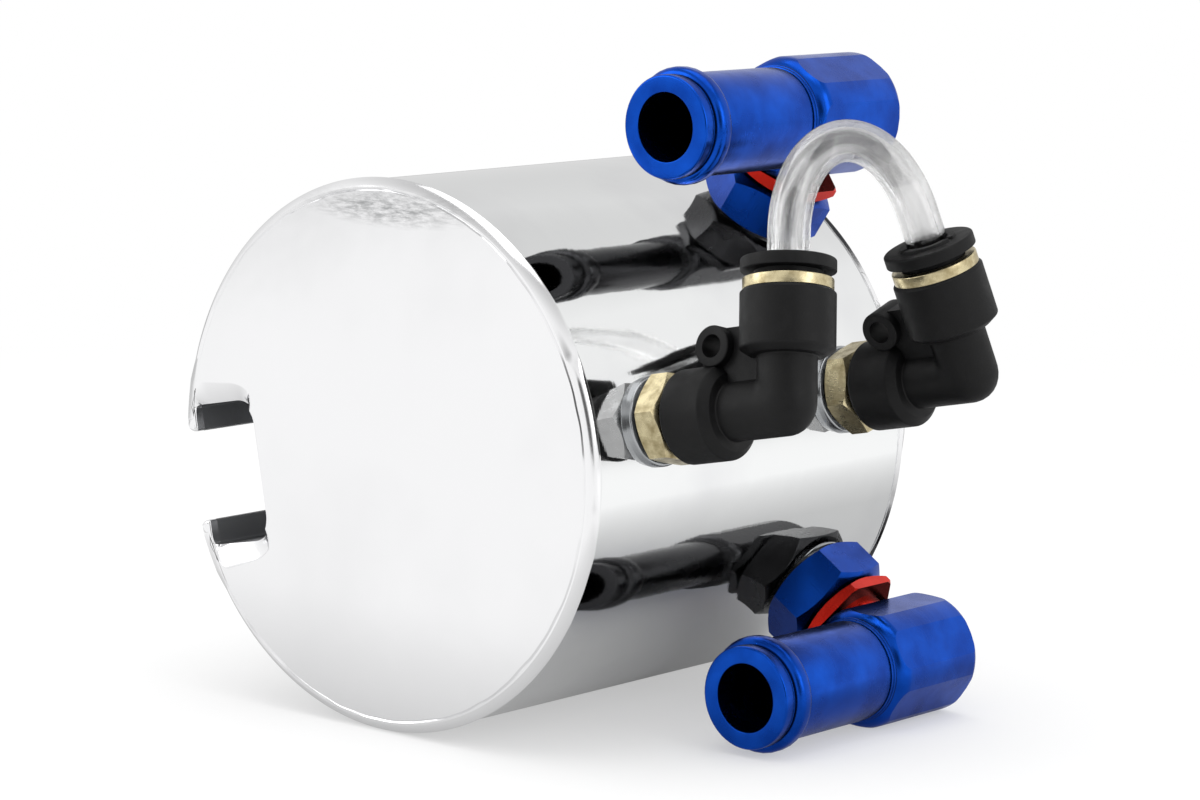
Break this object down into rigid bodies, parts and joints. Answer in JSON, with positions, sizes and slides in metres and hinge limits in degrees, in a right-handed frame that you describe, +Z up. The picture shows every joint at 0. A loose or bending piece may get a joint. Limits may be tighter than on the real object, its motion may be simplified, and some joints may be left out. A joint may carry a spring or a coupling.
{
  "type": "oil catch can",
  "caption": "Aluminium oil catch can with a T-slot mounting channel, swivelling blue and red hose elbows with barbs, and a clear sight tube held in push-in elbows",
  "frame": {"origin": "centre of the near end cap's outer face, on the tank's axis", "axes": "+Y runs along the tank's axis towards the far end cap, +X points to the side with the hose ends and the sight tube, and +Z is up as the can lies on a bench"},
  "size_m": [0.1076, 0.074, 0.0979],
  "materials": {
    "tank_aluminium": "polished tube with fine marks from drawing",
    "cap_aluminium": "bright machined face with a fine grain",
    "blue_anodised": "bright blue anodised",
    "red_anodised": "bright red anodised",
    "plated_brass": "pale plated brass",
    "spring_steel": "bright spring wire",
    "seal_rubber": "smooth seal rubber",
    "black_plastic": "moulded with a soft grain",
    "clear_tube": "clear tube"
  },
  "bodies": {
    "can": {"can_shell": "tank_aluminium", "near_end_cap": "cap_aluminium", "far_end_cap": "cap_aluminium", "upper_port_bung": "tank_aluminium", "lower_port_bung": "tank_aluminium", "upper_swivel_nut": "blue_anodised", "lower_swivel_nut": "blue_anodised", "near_sight_boss": "tank_aluminium", "far_sight_boss": "tank_aluminium", "near_brass_stud": "plated_brass", "far_brass_stud": "plated_brass", "near_stud_seal": "seal_rubber", "far_stud_seal": "seal_rubber", "sight_tube": "clear_tube"},
    "upper_hose_end": {"upper_swivel_neck": "red_anodised", "upper_lock_ring": "spring_steel", "upper_neck_seal": "seal_rubber", "upper_hose_elbow": "blue_anodised"},
    "lower_hose_end": {"lower_swivel_neck": "red_anodised", "lower_lock_ring": "spring_steel", "lower_neck_seal": "seal_rubber", "lower_hose_elbow": "blue_anodised"},
    "near_elbow": {"near_elbow_body": "black_plastic", "near_brass_sleeve": "plated_brass", "near_grab_ring": "spring_steel", "near_tube_seal": "seal_rubber"},
    "far_elbow": {"far_elbow_body": "black_plastic", "far_brass_sleeve": "plated_brass", "far_grab_ring": "spring_steel", "far_tube_seal": "seal_rubber"},
    "near_collar": {"near_release_collar": "black_plastic"},
    "far_collar": {"far_release_collar": "black_plastic"}
  },
  "joints": [
    {"name": "upper_hose_swivel", "type": "hinge", "parent": "can", "child": "upper_hose_end", "pos_m": [0.02682, 0.059, 0.04101], "axis": [0.5474, 0, 0.8369], "range_deg": [-180, 25]},
    {"name": "lower_hose_swivel", "type": "hinge", "parent": "can", "child": "lower_hose_end", "pos_m": [0.04101, 0.059, -0.02682], "axis": [0.8369, 0, -0.5474], "continuous": true},
    {"name": "near_elbow_turn", "type": "hinge", "parent": "can", "child": "near_elbow", "pos_m": [0.04894, 0.0146, 0.01023], "axis": [0.9788, 0, 0.2047], "range_deg": [-8, 8], "deforming": ["sight_tube"]},
    {"name": "far_elbow_turn", "type": "hinge", "parent": "can", "child": "far_elbow", "pos_m": [0.04894, 0.0584, 0.01023], "axis": [0.9788, 0, 0.2047], "range_deg": [-8, 8], "deforming": ["sight_tube"]},
    {"name": "near_collar_push", "type": "slide", "parent": "near_elbow", "child": "near_collar", "axis": [0.1986, -0.2419, -0.9497], "range_m": [0, 0.0009], "stiffness_N_per_m": 400},
    {"name": "far_collar_push", "type": "slide", "parent": "far_elbow", "child": "far_collar", "axis": [0.1958, 0.2924, -0.9361], "range_m": [0, 0.0009], "stiffness_N_per_m": 400}
  ]
}
